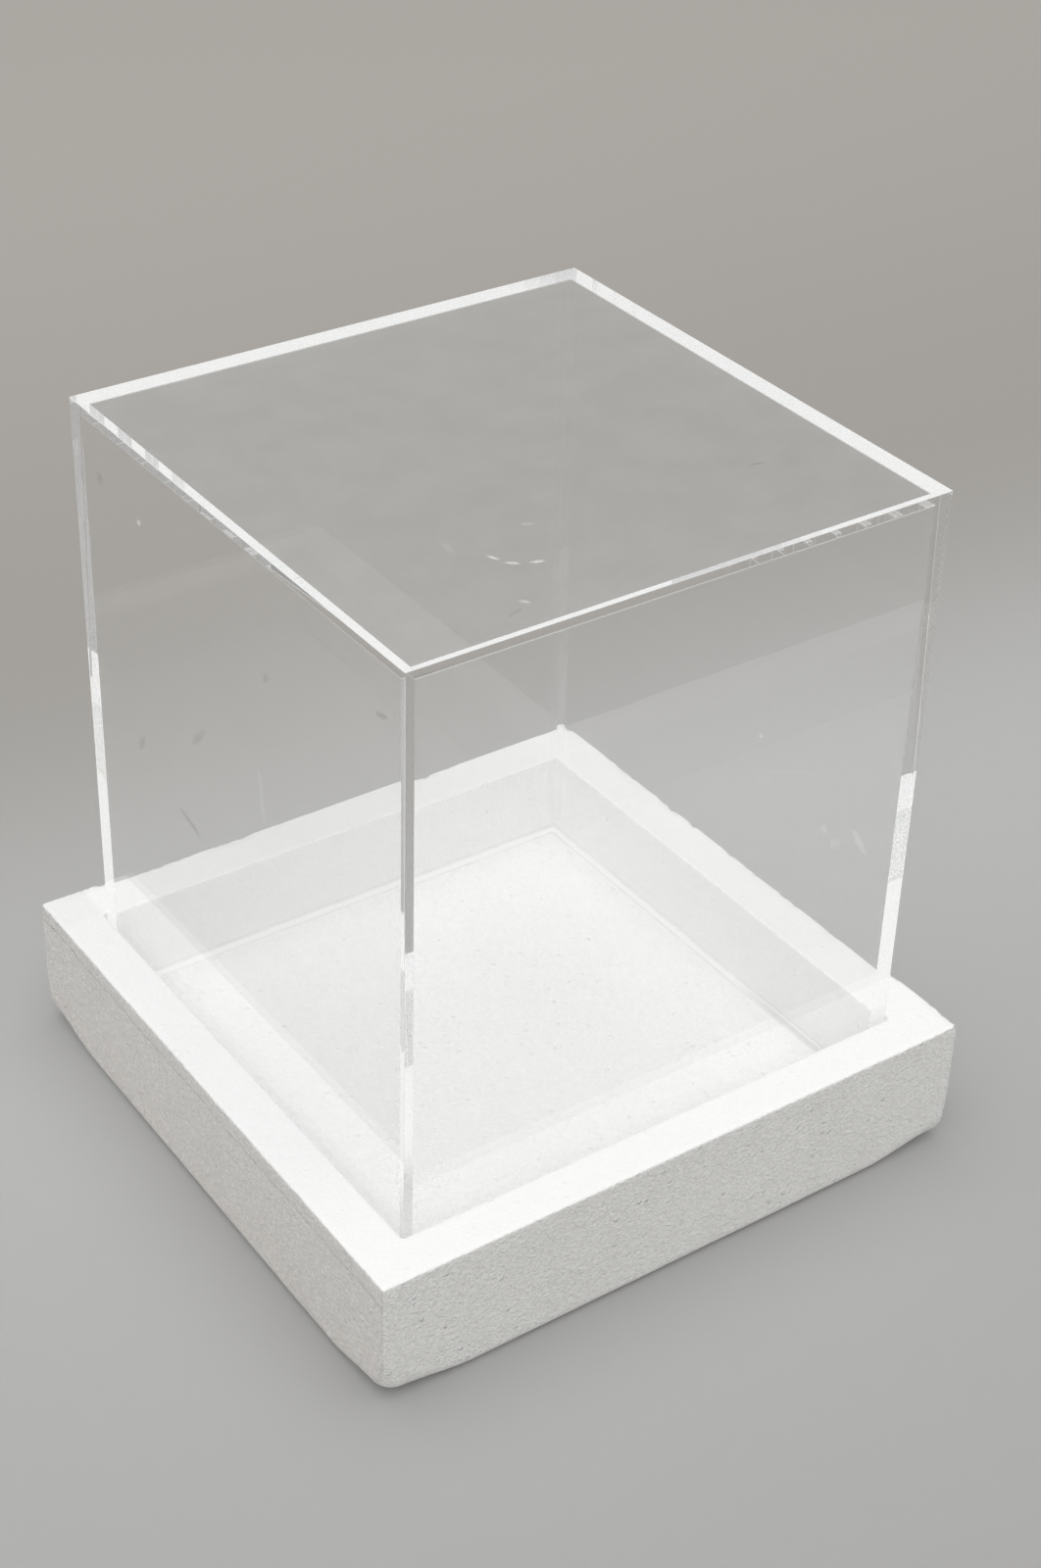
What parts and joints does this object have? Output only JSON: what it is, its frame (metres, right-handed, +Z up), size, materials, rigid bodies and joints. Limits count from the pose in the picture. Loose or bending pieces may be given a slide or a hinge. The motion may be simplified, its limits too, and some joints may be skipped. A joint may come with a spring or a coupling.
{
  "type": "acrylic display cover with foam tray",
  "caption": "Clear acrylic display cover, closed at the top and open below, standing in the square recess of a white foam tray and lifting straight off it.",
  "frame": {"origin": "centre of the tray's underside, with the cover in place", "axes": "+Z up, the way the cover lifts; X and Y along the sides of the square plan, with the sawn side of the tray facing -X"},
  "size_m": [0.302, 0.302, 0.3285],
  "materials": {
    "clear_acrylic": "clear cast acrylic sheet with polished edges and clear solvent-welded joints",
    "white_foam": "white expanded polystyrene, fine fused beads, one side sawn"
  },
  "bodies": {
    "tray": {"foam_tray": "white_foam"},
    "cover": {"top_panel": "clear_acrylic", "front_wall": "clear_acrylic", "back_wall": "clear_acrylic", "left_wall": "clear_acrylic", "right_wall": "clear_acrylic"}
  },
  "joints": [
    {"name": "cover_lift", "type": "slide", "parent": "tray", "child": "cover", "axis": [0, 0, 1], "range_m": [0, 0.1]}
  ]
}
